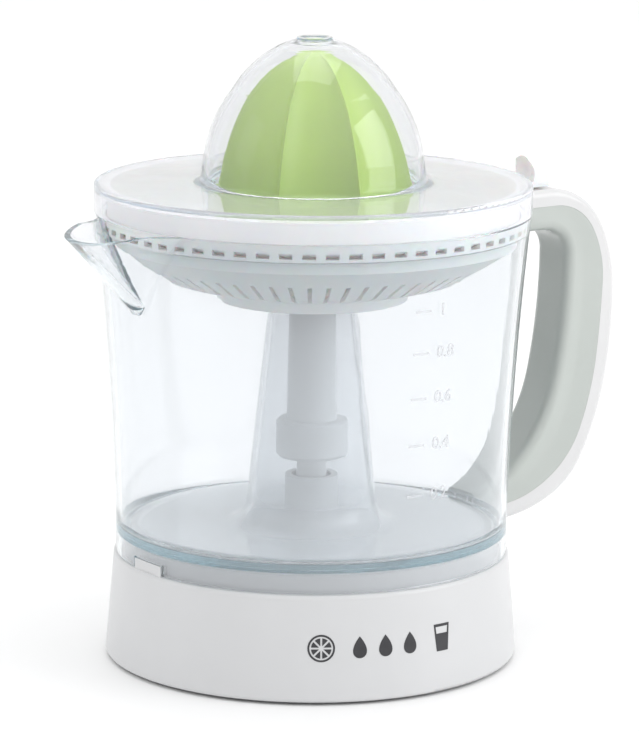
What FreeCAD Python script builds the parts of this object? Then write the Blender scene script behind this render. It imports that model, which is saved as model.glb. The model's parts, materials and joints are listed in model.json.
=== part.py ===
import FreeCAD, Part
import math
import os
import Sketcher
from FreeCAD import Placement, Rotation, Vector

# A citrus press juicer.  Frame: millimetres, +Z up, the origin on the drive
# axis at the level of the feet, +X towards the jug's handle, -X towards its spout.
# Every height below is measured from the surface that the feet stand on.

doc = FreeCAD.newDocument("citrus_press")

# ---------------------------------------------------------------- sizes

SIZES = {
    "play": 0.3,                  # gap between parts that come apart
    "running": 0.05,              # radial clearance of a running fit
    "sheet_wall": 2.2,            # moulded wall
    # base
    "housing_low": 1.0,
    "housing_foot_radius": 71.4,
    "housing_top_radius": 68.6,
    "shoulder_z": 37.1,
    "plateau_z": 43.6,
    "plateau_radius": 64.6,
    "boss_radius": 9.2,
    "boss_bore": 7.0,
    "boss_top": 63.4,
    "plate_low": 1.4,
    "plate_high": 4.2,
    "plate_radius": 68.6,
    "foot_radius": 7.0,
    "foot_ring": 54.0,            # distance of the feet from the axis
    # jug
    "jug_foot_radius": 67.8,
    "jug_rim_radius": 74.6,
    "jug_rim_z": 155.3,
    "ledge_z": 149.3,
    "floor_z": 46.5,
    "floor_thickness": 2.4,
    "tower_foot_radius": 22.4,
    "tower_top_radius": 14.5,
    "tower_top": 128.5,
    "handle_width": 19.0,
    # lid
    "lid_radius": 75.0,
    "lid_low": 155.6,
    "lid_brim": 165.2,
    "lid_wall": 1.8,
    # sieve and pulp ring
    "sieve_radius": 72.6,
    "sieve_top": 155.0,
    "slot_count": 60,
    "slot_width": 1.5,
    "collar_bore": 16.2,
    # reamer
    "reamer_radius": 36.0,
    "reamer_low": 146.0,
    "reamer_flange": 160.0,
    # drive
    "shaft_radius": 5.2,
    "tube_radius": 8.0,
    "drip_radius": 12.4,
    "drip_low": 69.8,
    "shaft_shoulder": 129.0,
    "hex_radius": 6.7,            # across corners, halved
    "gear_hex_radius": 5.1,
    "hex_top": 153.0,
    "journal_radius": 3.0,
    "shaft_low": 15.7,
    "pin_radius": 1.5,
    "gear_low": 27.5,
    "gear_high": 33.5,
}


class Size:
    """A length, with the spreadsheet expression that drives it."""

    def __init__(self, number, text):
        self.number = number
        self.text = text

    def __add__(self, other):
        return Size(self.number + number(other), f"({self.text} + {text(other)})")

    def __sub__(self, other):
        return Size(self.number - number(other), f"({self.text} - {text(other)})")

    def __rsub__(self, other):
        return Size(number(other) - self.number, f"({text(other)} - {self.text})")

    def __mul__(self, other):
        return Size(self.number * number(other), f"({self.text} * {text(other)})")

    def __neg__(self):
        return Size(-self.number, f"(0 - {self.text})")


def number(length):
    return length.number if isinstance(length, Size) else float(length)


def text(length):
    return length.text if isinstance(length, Size) else repr(float(length))


class Sheet:
    """The spreadsheet of driving sizes: one alias per row."""

    def __init__(self, sizes):
        cells = doc.addObject("Spreadsheet::Sheet", "Sizes")
        for row, (name, amount) in enumerate(sizes.items(), start=1):
            cells.set(f"A{row}", name)
            cells.set(f"B{row}", str(amount))
            cells.setAlias(f"B{row}", name)
            setattr(self, name, Size(float(amount), f"Sizes.{name}"))


size = Sheet(SIZES)
doc.recompute()

# ---------------------------------------------------------------- helpers

NODES = []


def node(feature, name):
    """Give a finished sub-part the name of its file."""
    feature.Label = name
    NODES.append(feature)
    return feature


def bind(feature, **lengths):
    for name, length in lengths.items():
        setattr(feature, name, number(length))
        if isinstance(length, Size):
            feature.setExpression(name, length.text)
    return feature


def place(feature, x=0, y=0, z=0, turn=None):
    base = Vector(number(x), number(y), number(z))
    feature.Placement = Placement(base, turn or Rotation())
    for axis, length in (("x", x), ("y", y), ("z", z)):
        if isinstance(length, Size):
            feature.setExpression(f".Placement.Base.{axis}", length.text)
    return feature


def new_body(name):
    return doc.addObject("PartDesign::Body", name)


def origin_plane(body, role):
    for feature in body.Origin.OriginFeatures:
        if feature.Role == role:
            return feature
    raise ValueError(role)


def sketch_on(body, role, name, offset=0):
    sketch = body.newObject("Sketcher::SketchObject", name)
    sketch.AttachmentSupport = [(origin_plane(body, role), "")]
    sketch.MapMode = "FlatFace"
    if number(offset):
        sketch.AttachmentOffset = Placement(Vector(0, 0, number(offset)), Rotation())
        if isinstance(offset, Size):
            sketch.setExpression(".AttachmentOffset.Base.z", offset.text)
    return sketch


START, END, ORIGIN, X_AXIS, Y_AXIS = 1, 2, -1, -1, -2


def outline(sketch, corners, arcs=None):
    """A closed outline through the corners.  arcs maps the number of an edge,
    counted from its first corner, to a point that the edge bulges through."""
    arcs = arcs or {}
    points = [Vector(number(x), number(y), 0) for x, y in corners]
    first = sketch.GeometryCount
    ends = []
    edges = []
    for index, start in enumerate(points):
        stop = points[(index + 1) % len(points)]
        if index in arcs:
            via = Vector(arcs[index][0], arcs[index][1], 0)
            edges.append(Part.Arc(start, via, stop))
            clockwise = (via - start).cross(stop - via).z < 0
            ends.append((END, START) if clockwise else (START, END))
        else:
            edges.append(Part.LineSegment(start, stop))
            ends.append((START, END))
    sketch.addGeometry(edges, False)
    rules = []
    bound = []
    for index, (x, y) in enumerate(corners):
        this = first + index
        after = first + (index + 1) % len(points)
        near, far = ends[index]
        rules.append(Sketcher.Constraint("Coincident", this, far, after, ends[after - first][0]))
        for kind, length, axis in (("DistanceX", x, Y_AXIS), ("DistanceY", y, X_AXIS)):
            if number(length) == 0:
                rules.append(Sketcher.Constraint("PointOnObject", this, near, axis))
                continue
            if isinstance(length, Size):
                bound.append((len(rules), length))
            rules.append(Sketcher.Constraint(kind, ORIGIN, 1, this, near, number(length)))
        if index in arcs:
            rules.append(Sketcher.Constraint("Radius", this, edges[index].toShape().Curve.Radius))
    base = sketch.ConstraintCount
    sketch.addConstraint(rules)
    for offset, length in bound:
        sketch.setExpression(f"Constraints[{base + offset}]", length.text)
    return sketch


def revolved(name, corners, arcs=None):
    """A body turned about the Z axis from an outline in the XZ plane."""
    body = new_body(name)
    sketch = outline(sketch_on(body, "XZ_Plane", f"{name}_profile"), corners, arcs)
    turned = body.newObject("PartDesign::Revolution", f"{name}_turned")
    turned.Profile = sketch
    turned.ReferenceAxis = (sketch, ["V_Axis"])
    turned.Angle = 360
    doc.recompute()
    return body


def padded(body, sketch, length, name, midplane=False, reverse=False):
    pad = body.newObject("PartDesign::Pad", name)
    pad.Profile = sketch
    bind(pad, Length=length)
    pad.Midplane = midplane
    pad.Reversed = reverse
    doc.recompute()
    return pad


def pocketed(body, sketch, name, reverse):
    """A pocket right through the body, which has to remove something."""
    before = body.Shape.Volume
    pocket = body.newObject("PartDesign::Pocket", name)
    pocket.Profile = sketch
    pocket.Type = "ThroughAll"
    pocket.Reversed = reverse
    doc.recompute()
    if not body.Shape.Volume < before - 0.01:
        raise RuntimeError(f"{name} removes nothing")
    return pocket


def cylinder(name, radius, low, high, x=0, y=0):
    shape = doc.addObject("Part::Cylinder", name)
    bind(shape, Radius=radius, Height=high - low if isinstance(high, Size) else number(high) - number(low))
    return place(shape, x, y, low)


def box(name, low, high):
    shape = doc.addObject("Part::Box", name)
    bind(shape, Length=high[0] - low[0], Width=high[1] - low[1], Height=high[2] - low[2])
    return place(shape, *low)


def joined(name, *pieces):
    fuse = doc.addObject("Part::MultiFuse", name)
    fuse.Shapes = list(pieces)
    return fuse


def cut(name, base, tool):
    result = doc.addObject("Part::Cut", name)
    result.Base = base
    result.Tool = tool
    return result


def common(name, *pieces):
    result = doc.addObject("Part::MultiCommon", name)
    result.Shapes = list(pieces)
    return result


def grouped(name, shapes):
    """Equal solids of one node, side by side."""
    group = doc.addObject("Part::Feature", name)
    group.Shape = Part.makeCompound(shapes)
    return group


def plain(name, shape):
    feature = doc.addObject("Part::Feature", name)
    feature.Shape = shape
    return feature


def polar(radius, degrees):
    angle = math.radians(degrees)
    return radius * math.cos(angle), radius * math.sin(angle)


def ring(outer, inner, low, high, x=0, y=0):
    at = Vector(x, y, low)
    return Part.makeCylinder(outer, high - low, at).cut(Part.makeCylinder(inner, high - low, at))


# ---------------------------------------------------------------- base

def base_housing():
    """White base shell, open below, with the raised plateau under the jug and
    the boss that carries the drive shaft."""
    wall = size.sheet_wall
    foot = size.housing_foot_radius
    top = size.housing_top_radius
    inner_foot = foot - wall
    inner_top = top - wall
    ceiling = size.plateau_z - wall
    bore = size.boss_bore
    body = revolved(
        "housing_moulding",
        [
            (foot - 1.2, size.housing_low),
            (foot, size.housing_low + 1.2),
            (top, size.shoulder_z - 1.5),
            (top - 1.5, size.shoulder_z),
            (size.plateau_radius, size.shoulder_z),
            (size.plateau_radius, size.plateau_z - 0.8),
            (size.plateau_radius - 0.8, size.plateau_z),
            (size.boss_radius + 2.0, size.plateau_z),
            (size.boss_radius, size.plateau_z + 2.0),
            (size.boss_radius, size.boss_top),
            (bore, size.boss_top),
            (bore, ceiling),
            (size.plateau_radius - wall, ceiling),
            (size.plateau_radius - wall, size.shoulder_z - wall),
            (inner_top, size.shoulder_z - wall),
            (inner_foot, size.plate_high),
            (inner_foot, size.housing_low),
        ],
        {0: (71.05, 1.35), 2: (68.16, 36.66)},
    )
    posts = []
    for degrees in SCREW_ANGLES:
        x, y = polar(SCREW_RING, degrees)
        posts.append(cylinder(f"housing_post_{degrees}", 4.0, size.plate_high + 0.1,
                              ceiling + 0.4, x, y))
    pilots = []
    for degrees in SCREW_ANGLES:
        x, y = polar(SCREW_RING, degrees)
        pilots.append(cylinder(f"housing_pilot_{degrees}", 1.3, size.plate_high - 1, 16.0, x, y))
    # the tab that keys the jug, under the spout
    tab = box("key_tab", (-67.4, -8.0, size.shoulder_z - 0.5), (-64.0, 8.0, size.shoulder_z + 3.4))
    outlet = doc.addObject("Part::Cylinder", "cord_hole")
    bind(outlet, Radius=5.0, Height=12.0)
    place(outlet, 0, 62.0, CORD_Z, Rotation(Vector(1, 0, 0), -90))
    shell = joined("housing_shell", body, tab, *posts)
    return node(cut("housing", shell, joined("housing_holes", outlet, *pilots)), "base_housing")


SCREW_RING = 58.0
SCREW_ANGLES = (45, 135, -112, -45)
FOOT_ANGLES = (0, 90, 180, -90)
CORD_Z = 14.0
MOTOR = Vector(-36.0, -8.0, 0)


def base_plate():
    """Bottom plate, with holes for screws and feet and the rotor's lower bearing."""
    body = new_body("bottom_plate")
    disc = sketch_on(body, "XY_Plane", "plate_disc", size.plate_low)
    disc.addGeometry(Part.Circle(Vector(0, 0, 0), Vector(0, 0, 1), number(size.plate_radius)), False)
    disc.addConstraint(Sketcher.Constraint("Coincident", 0, 3, ORIGIN, 1))
    rule = disc.addConstraint(Sketcher.Constraint("Radius", 0, number(size.plate_radius)))
    disc.setExpression(f"Constraints[{rule}]", size.plate_radius.text)
    padded(body, disc, size.plate_high - size.plate_low, "plate_pad")
    holes = sketch_on(body, "XY_Plane", "plate_holes")
    places = [(2.6, polar(number(size.foot_ring), a)) for a in FOOT_ANGLES]
    places += [(1.8, polar(SCREW_RING, a)) for a in SCREW_ANGLES]
    for radius, (x, y) in places:
        hole = holes.GeometryCount
        holes.addGeometry(Part.Circle(Vector(x, y, 0), Vector(0, 0, 1), radius), False)
        holes.addConstraint([
            Sketcher.Constraint("Radius", hole, radius),
            Sketcher.Constraint("DistanceX", ORIGIN, 1, hole, 3, x),
            Sketcher.Constraint("DistanceY", ORIGIN, 1, hole, 3, y or 0.001),
        ])
    pocketed(body, holes, "plate_pocket", True)
    seat = cylinder("rotor_seat", 3.6, size.plate_high - 1, size.plate_high + 1.6, MOTOR.x, MOTOR.y)
    bearing = cylinder("rotor_bearing_hole", size.pin_radius + size.running,
                       2.8, size.plate_high + 2, MOTOR.x, MOTOR.y)
    whole = joined("plate_with_seat", body, seat)
    return node(cut("plate", whole, bearing), "base_plate")


def rubber_feet():
    """Four rubber feet with stems pressed into the plate."""
    low = number(size.plate_low)
    shapes = []
    for degrees in FOOT_ANGLES:
        x, y = polar(number(size.foot_ring), degrees)
        pad = Part.makeCylinder(number(size.foot_radius), low, Vector(x, y, 0))
        pad = pad.makeFillet(0.5, [e for e in pad.Edges if e.BoundBox.ZMax < 0.01])
        stem = Part.makeCylinder(2.55, number(size.plate_high) - low, Vector(x, y, low))
        shapes.append(pad.fuse(stem).removeSplitter())
    return node(grouped("feet", shapes), "rubber_feet")


def base_screws():
    """Screws that hold the bottom plate to the housing's posts."""
    shapes = []
    for degrees in SCREW_ANGLES:
        x, y = polar(SCREW_RING, degrees)
        shapes.append(pan_screw(x, y, number(size.plate_low) - 1.2, 13.0, 1.28, 3.0, 1.2, True))
    return node(grouped("bottom_screws", shapes), "base_screws")


def pan_screw(x, y, z, length, radius, head_radius, head_height, upward):
    """A self-tapping screw with a cross recess.  Its head starts at z and its
    shank points up or down."""
    start = z if upward else z - head_height
    head = Part.makeCylinder(head_radius, head_height, Vector(x, y, start))
    shank_start = z + head_height if upward else z - head_height - length
    shank = Part.makeCylinder(radius, length, Vector(x, y, shank_start))
    depth = head_height * 0.55
    recess_low = z if upward else z - depth
    long = head_radius * 1.1
    for width, height in ((long, 0.6), (0.6, long)):
        slot = Part.makeBox(width, height, depth, Vector(x - width / 2, y - height / 2, recess_low))
        head = head.cut(slot)
    return head.fuse(shank).removeSplitter()


def cord_gland():
    """Grommet in the rear wall of the housing that the supply cord leaves by."""
    turn = Rotation(Vector(1, 0, 0), -90)
    barrel = place(bind(doc.addObject("Part::Cylinder", "gland_barrel"), Radius=4.95, Height=10.0),
                   0, 63.5, CORD_Z, turn)
    inner_flange = place(bind(doc.addObject("Part::Cylinder", "gland_inner"), Radius=6.5, Height=2.0),
                         0, 64.0, CORD_Z, turn)
    collar = place(bind(doc.addObject("Part::Cone", "gland_collar"), Radius1=6.2, Radius2=5.2,
                        Height=1.6), 0, 71.2, CORD_Z, turn)
    bore = place(bind(doc.addObject("Part::Cylinder", "gland_bore"), Radius=3.3, Height=16.0),
                 0, 60.0, CORD_Z, turn)
    housing_face = ring(90, number(size.housing_top_radius) + 1.3, 0, 30)
    outside = plain("gland_outside", housing_face)
    collar_fit = common("gland_collar_outside", collar, outside)
    return node(cut("gland", joined("gland_body", barrel, inner_flange, collar_fit), bore),
                "cord_gland")


# ---------------------------------------------------------------- motor and switch

CORE_LOW, CORE_HIGH = 7.5, 19.5
LEGS = ((-28.5, -18.7), (-53.3, -43.5))


def stator_core():
    """U-shaped laminated core with a round gap for the rotor."""
    pieces = [box(f"core_leg_{i}", (x0, -17.0, CORE_LOW), (x1, 29.0, CORE_HIGH))
              for i, (x0, x1) in enumerate(LEGS)]
    yoke = box("core_yoke", (LEGS[1][0], 20.0, CORE_LOW), (LEGS[0][1], 29.0, CORE_HIGH))
    gap = cylinder("core_gap", 9.1, CORE_LOW - 1, CORE_HIGH + 1, MOTOR.x, MOTOR.y)
    return node(cut("core", joined("core_block", *pieces, yoke), gap), "stator_core")


def coil_layer(grow, thickness_z, thickness_x, low, high):
    """Two rectangular tubes round the core's legs."""
    shapes = []
    for x0, x1 in LEGS:
        inner = Part.makeBox(x1 - x0 + 2 * grow, high - low + 2, CORE_HIGH - CORE_LOW + 2 * grow,
                             Vector(x0 - grow, low - 1, CORE_LOW - grow))
        wide = grow + thickness_x
        tall = grow + thickness_z
        outer = Part.makeBox(x1 - x0 + 2 * wide, high - low, CORE_HIGH - CORE_LOW + 2 * tall,
                             Vector(x0 - wide, low, CORE_LOW - tall))
        outer = outer.makeFillet(0.8 * thickness_x, [e for e in outer.Edges
                                                    if abs(e.tangentAt(e.FirstParameter).y) > 0.9])
        shapes.append(outer.cut(inner))
    return shapes


def coil_bobbins():
    tubes = coil_layer(0.1, 1.0, 1.0, 2.0, 19.8)
    flanges = []
    for low in (2.0, 18.8):
        flanges.append(coil_layer(0.1, 2.9, 4.0, low, low + 1.0))
    shapes = []
    for index, tube in enumerate(tubes):
        shapes.append(tube.fuse([flanges[0][index], flanges[1][index]]).removeSplitter())
    return node(grouped("bobbins", shapes), "coil_bobbins")


def coil_windings():
    return node(grouped("windings", coil_layer(1.15, 1.6, 2.8, 3.1, 18.7)), "coil_windings")


def rotor():
    pin = size.pin_radius
    magnet = cylinder("rotor_disc", 8.4, CORE_LOW + 0.5, CORE_HIGH - 0.5, MOTOR.x, MOTOR.y)
    hole = cylinder("rotor_hole", pin, CORE_LOW, CORE_HIGH, MOTOR.x, MOTOR.y)
    node(cut("rotor", magnet, hole), "rotor_magnet")
    node(cylinder("motor_shaft", pin, 3.2, 40.0, MOTOR.x, MOTOR.y), "rotor_shaft")


SWITCH_HOLE = 1.7


def microswitch():
    case = box("switch_case", (-10.0, -4.0, size.plate_high + 0.1), (10.0, 4.0, 12.0))
    hole = cylinder("switch_hole", SWITCH_HOLE, 6.2, 13.0)
    body = cut("switch_body", case, hole)
    tabs = [box(f"switch_tab_{i}", (x, -2.0, 6.0), (x + 4.0, 2.0, 6.8))
            for i, x in enumerate((-14.0, 10.0))]
    node(joined("switch", body, *tabs), "microswitch")
    node(cylinder("plunger", SWITCH_HOLE - number(size.running), 9.2,
                  number(size.shaft_low) - 0.2), "switch_plunger")


def return_spring():
    """Coil spring that lifts the shaft when the fruit is taken away."""
    wire = 0.35
    low, high = 22.4, 25.3
    height = high - low - 2 * wire
    helix = Part.makeHelix(height / 3, height, 4.6)
    helix.translate(Vector(0, 0, low + wire))
    circle = Part.makeCircle(wire, Vector(4.6, 0, low + wire), Vector(0, 1, 0))
    sweep = Part.Wire(helix.Edges).makePipeShell([Part.Wire([circle])], True, True)
    return node(plain("spring", sweep), "return_spring")


def terminal_block():
    block = box("terminal_case", (24.0, -10.0, size.plate_high + 0.1), (36.0, 10.0, 14.0))
    holes = []
    for index, y in enumerate((-5.0, 5.0)):
        holes.append(cylinder(f"terminal_hole_{index}", 1.6, 9.0, 15.0, 30.0, y))
    return node(cut("terminal", block, joined("terminal_holes", *holes)), "terminal_block")


def round_wire(points, radius):
    """A line through the points with its corners rounded."""
    edges = []
    start = points[0]
    for before, corner, after in zip(points, points[1:], points[2:]):
        back = (before - corner).normalize()
        ahead = (after - corner).normalize()
        half = back.getAngle(ahead) / 2
        reach = radius / math.tan(half)
        first = corner + back * reach
        last = corner + ahead * reach
        bisector = (back + ahead).normalize()
        middle = corner + bisector * (radius / math.sin(half) - radius)
        edges.append(Part.LineSegment(start, first).toShape())
        edges.append(Part.Arc(first, middle, last).toShape())
        start = last
    edges.append(Part.LineSegment(start, points[-1]).toShape())
    return Part.Wire(edges)


def lead(points, thickness):
    path = round_wire(points, 3.0)
    start = points[0]
    along = points[1] - points[0]
    circle = Part.Wire([Part.makeCircle(thickness, start, along)])
    return path.makePipeShell([circle], True, False)


def lead_wires():
    """Insulated leads from the terminal block to the switch and to the coils."""
    to_switch = lead([Vector(24.0, 4.0, 8.0), Vector(19.0, 4.0, 8.0), Vector(19.0, 0, 7.6),
                      Vector(14.0, 0, 7.6)], 0.7)
    to_coil = lead([Vector(24.0, 7.0, 10.0), Vector(16.0, 7.0, 10.0), Vector(6.0, 24.0, 12.0),
                    Vector(-6.0, 15.0, 12.0), Vector(-14.4, 15.0, 12.0)], 0.7)
    return node(grouped("leads", [to_switch, to_coil]), "lead_wires")


# ---------------------------------------------------------------- gear train

class Gear:
    """A spur gear: its place, module, teeth and the angle of one tooth."""

    def __init__(self, module, teeth, centre, angle):
        self.module = module
        self.teeth = teeth
        self.centre = centre
        self.angle = angle

    def solid(self, low, high):
        """Involute teeth, each flank drawn through five points."""
        pitch = self.module * self.teeth / 2
        pressure = math.radians(20)
        base = pitch * math.cos(pressure)
        tip = pitch + 0.9 * self.module
        root = pitch - 1.2 * self.module
        backlash = 0.06 * self.module
        half = (math.pi * self.module / 2 - backlash) / (2 * pitch)
        involute_at_pitch = math.tan(pressure) - pressure
        start = max(base, root)
        points = []
        for tooth in range(self.teeth):
            centre = math.radians(self.angle + 360 * tooth / self.teeth)
            flank = []
            for step in range(5):
                radius = start + (tip - start) * step / 4
                roll = math.acos(min(1.0, base / radius))
                spread = half + involute_at_pitch - (math.tan(roll) - roll)
                flank.append((radius, max(spread, 0.008)))
            if root < start:
                flank.insert(0, (root, flank[0][1]))
            points += [(radius, centre - spread) for radius, spread in flank]
            points += [(radius, centre + spread) for radius, spread in reversed(flank)]
        corners = [Vector(self.centre.x + r * math.cos(a), self.centre.y + r * math.sin(a), low)
                   for r, a in points]
        face = Part.Face(Part.makePolygon(corners + corners[:1]))
        return face.extrude(Vector(0, 0, high - low))

    def meshed(self, module, teeth, centre):
        """A gear on another centre whose gap meets this gear's tooth."""
        direction = math.degrees(math.atan2(centre.y - self.centre.y, centre.x - self.centre.x))
        phase = (direction - self.angle) * self.teeth / 360
        angle = direction + 180 - (360 / teeth) * (0.5 - phase)
        return Gear(module, teeth, centre, angle)


def meeting(first, first_reach, second, second_reach):
    """The point at these distances from two centres, on the left of the way
    from the first to the second."""
    way = second - first
    along = (first_reach ** 2 - second_reach ** 2 + way.Length ** 2) / (2 * way.Length)
    aside = math.sqrt(first_reach ** 2 - along ** 2)
    ahead = way * (1 / way.Length)
    return first + ahead * along + Vector(-ahead.y, ahead.x, 0) * aside


# module, teeth of the driving pinion, teeth of the wheel it drives
FIRST_STAGE = (0.5, 12, 60)
SECOND_STAGE = (0.8, 12, 36)
THIRD_STAGE = (1.0, 16, 52)
FIRST_BEARING = -70.0             # from the motor to the first reduction gear


def spacing(stage):
    module, driving, driven = stage
    return module * (driving + driven) / 2


FIRST_CENTRE = MOTOR + Vector(*polar(spacing(FIRST_STAGE), FIRST_BEARING), 0)
SECOND_CENTRE = meeting(Vector(), spacing(THIRD_STAGE), FIRST_CENTRE, spacing(SECOND_STAGE))
OUTPUT = Gear(THIRD_STAGE[0], THIRD_STAGE[2], Vector(), 0)
SECOND_PINION = OUTPUT.meshed(THIRD_STAGE[0], THIRD_STAGE[1], SECOND_CENTRE)
SECOND_WHEEL = Gear(SECOND_STAGE[0], SECOND_STAGE[2], SECOND_CENTRE, SECOND_PINION.angle)
FIRST_PINION = SECOND_WHEEL.meshed(SECOND_STAGE[0], SECOND_STAGE[1], FIRST_CENTRE)
FIRST_WHEEL = Gear(FIRST_STAGE[0], FIRST_STAGE[2], FIRST_CENTRE, FIRST_PINION.angle)
ROTOR_PINION = FIRST_WHEEL.meshed(FIRST_STAGE[0], FIRST_STAGE[1], MOTOR)


def hexagon(radius, low, high):
    corners = [Vector(radius * math.cos(math.radians(60 * i)),
                      radius * math.sin(math.radians(60 * i)), low) for i in range(7)]
    return Part.Face(Part.makePolygon(corners)).extrude(Vector(0, 0, high - low))


def bored(shape, radius, centre):
    return shape.cut(Part.makeCylinder(radius, 60, Vector(centre.x, centre.y, 0)))


def disc(radius, centre, low, high):
    return Part.makeCylinder(radius, high - low, Vector(centre.x, centre.y, low))


def gears():
    low = number(size.gear_low)
    high = number(size.gear_high)
    bore = number(size.pin_radius) + number(size.running)
    wheel = OUTPUT.solid(low, high)
    wheel = wheel.cut(ring(21.5, 12.0, high - 1.8, high + 1))
    hub = disc(9.0, Vector(), low, 38.9)
    output = wheel.fuse(hub).cut(hexagon(number(size.gear_hex_radius) + 0.1, low - 1, 50))
    node(plain("final_gear", output.removeSplitter()), "output_gear")

    second = SECOND_PINION.solid(low, high).fuse([
        disc(8.4, SECOND_CENTRE, high, high + 0.4),
        SECOND_WHEEL.solid(high + 0.4, high + 3.4),
    ])
    node(plain("second_stage", bored(second, bore, SECOND_CENTRE).removeSplitter()),
         "second_reduction_gear")

    first = FIRST_WHEEL.solid(23.0, 26.0).fuse([
        disc(4.2, FIRST_CENTRE, 26.0, high + 0.2),
        FIRST_PINION.solid(high + 0.2, high + 3.6),
    ])
    node(plain("first_stage", bored(first, bore, FIRST_CENTRE).removeSplitter()),
         "first_reduction_gear")

    pinion = bored(ROTOR_PINION.solid(22.9, 26.3), number(size.pin_radius), MOTOR)
    node(plain("motor_pinion", pinion.removeSplitter()), "rotor_pinion")


FRAME_LOW, FRAME_HIGH = 20.0, 22.2
COVER_LOW, COVER_HIGH = 38.0, 40.2
POSTS = ((12.0, -48.0), (-51.0, -28.2), (31.0, 14.0), (-6.0, 38.0))


def gearbox_frame():
    """Lower plate of the gearbox, on four legs, open over the motor."""
    plate = Part.makeCylinder(61.0, FRAME_HIGH - FRAME_LOW, Vector(0, 0, FRAME_LOW))
    motor_side = Part.makeBox(80, 120, 10, Vector(-91.5, -18.6, FRAME_LOW - 2))
    plate = plate.cut(motor_side)
    arm = Part.makeBox(24, 9, FRAME_HIGH - FRAME_LOW, Vector(-12, 33.5, FRAME_LOW))
    legs = []
    tops = []
    plate_top = number(size.plate_high)
    for x, y in POSTS:
        legs.append(Part.makeCylinder(3.4, COVER_LOW - plate_top, Vector(x, y, plate_top)))
        tops.append(Part.makeCylinder(1.1, 12, Vector(x, y, COVER_LOW - 11)))
    for degrees in SCREW_ANGLES:
        x, y = polar(SCREW_RING, degrees)
        tops.append(Part.makeCylinder(4.6, 10, Vector(x, y, FRAME_LOW - 2)))
    journal = number(size.journal_radius) + number(size.running)
    tops.append(Part.makeCylinder(journal, 10, Vector(0, 0, FRAME_LOW - 2)))
    for centre in (FIRST_CENTRE, SECOND_CENTRE):
        tops.append(Part.makeCylinder(number(size.pin_radius), 10,
                                      Vector(centre.x, centre.y, FRAME_LOW - 2)))
    shape = plate.fuse([arm] + legs).cut(Part.makeCompound(tops)).removeSplitter()
    return node(plain("frame_plate", shape), "gearbox_frame")


def gearbox_cover():
    """Upper plate of the gearbox, which holds the tops of the pins."""
    plate = Part.makeCylinder(60.5, COVER_HIGH - COVER_LOW, Vector(0, 0, COVER_LOW))
    corner = Part.makeBox(80, 80, 10, Vector(36, -40, COVER_LOW - 2))
    plate = plate.cut(corner)
    holes = [Part.makeCylinder(9.0 + number(size.running), 10, Vector(0, 0, COVER_LOW - 2))]
    for centre in (FIRST_CENTRE, SECOND_CENTRE):
        holes.append(Part.makeCylinder(number(size.pin_radius), 10,
                                       Vector(centre.x, centre.y, COVER_LOW - 2)))
    running_hole = number(size.pin_radius) + number(size.running)
    holes.append(Part.makeCylinder(running_hole, 10, Vector(MOTOR.x, MOTOR.y, COVER_LOW - 2)))
    for x, y in POSTS:
        holes.append(Part.makeCylinder(1.6, 10, Vector(x, y, COVER_LOW - 2)))
    for degrees in SCREW_ANGLES:
        x, y = polar(SCREW_RING, degrees)
        holes.append(Part.makeCylinder(4.6, 10, Vector(x, y, COVER_LOW - 2)))
    return node(plain("cover_plate", plate.cut(Part.makeCompound(holes))), "gearbox_cover")


def gear_pins():
    shapes = []
    for centre in (FIRST_CENTRE, SECOND_CENTRE):
        shapes.append(Part.makeCylinder(number(size.pin_radius), COVER_HIGH - FRAME_LOW,
                                        Vector(centre.x, centre.y, FRAME_LOW)))
    return node(grouped("pins", shapes), "gear_pins")


def gearbox_screws():
    shapes = [pan_screw(x, y, COVER_HIGH + 1.0, 9.0, 1.08, 2.4, 1.0, False) for x, y in POSTS]
    return node(grouped("cover_screws", shapes), "gearbox_screws")


# ---------------------------------------------------------------- drive shaft

def shaft_bearing():
    """Bush and lip seal in the housing's boss."""
    inner = number(size.shaft_radius) + number(size.running)
    bore = number(size.boss_bore)
    node(plain("bush", ring(bore, inner, 44.0, 58.0)), "shaft_bush")
    node(plain("seal", ring(bore, inner, 58.2, number(size.boss_top) - 0.4)), "shaft_seal")


CLIP_LOW, CLIP_HIGH = 25.4, 26.6  # retaining clip under the output gear
GEAR_HEX_TOP = 42.8               # clears the output gear's hub when the shaft is pressed


def drive_shaft():
    """Tall drive shaft: journal, hexagon in the gear, drip collar, tube and the
    hexagon that turns the reamer."""
    shaft = size.shaft_radius
    drip = size.drip_radius
    drip_low = size.drip_low
    drip_high = drip_low + 13.0
    core = 4.3                    # round bar inside both hexagons
    turned = revolved(
        "shaft_turned",
        [
            (0, size.shaft_low),
            (size.journal_radius, size.shaft_low),
            (size.journal_radius, CLIP_HIGH),
            (core, CLIP_HIGH),
            (core, GEAR_HEX_TOP),
            (shaft, GEAR_HEX_TOP),
            (shaft, drip_low),
            (drip - 1.2, drip_low),
            (drip, drip_low + 1.2),
            (drip, drip_high - 0.8),
            (drip - 0.8, drip_high),
            (size.tube_radius + 0.7, drip_high),
            (size.tube_radius, size.shaft_shoulder),
            (core, size.shaft_shoulder),
            (core, size.hex_top),
            (0, size.hex_top),
        ],
    )
    lower_hex = plain("shaft_lower_hex",
                      hexagon(number(size.gear_hex_radius), CLIP_HIGH, GEAR_HEX_TOP))
    upper = hexagon(number(size.hex_radius), number(size.shaft_shoulder) - 0.5, number(size.hex_top))
    point = Part.makeCone(number(size.hex_radius) + 12, number(size.hex_radius) - 1.6,
                          12 + 1.6, Vector(0, 0, number(size.hex_top) - 13.6))
    upper_hex = plain("shaft_upper_hex", upper.common(point))
    node(joined("shaft", turned, lower_hex, upper_hex), "drive_shaft")
    clip = ring(6.5, number(size.journal_radius), CLIP_LOW, CLIP_HIGH)
    return node(plain("clip", clip), "shaft_clip")


# ---------------------------------------------------------------- jug

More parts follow.
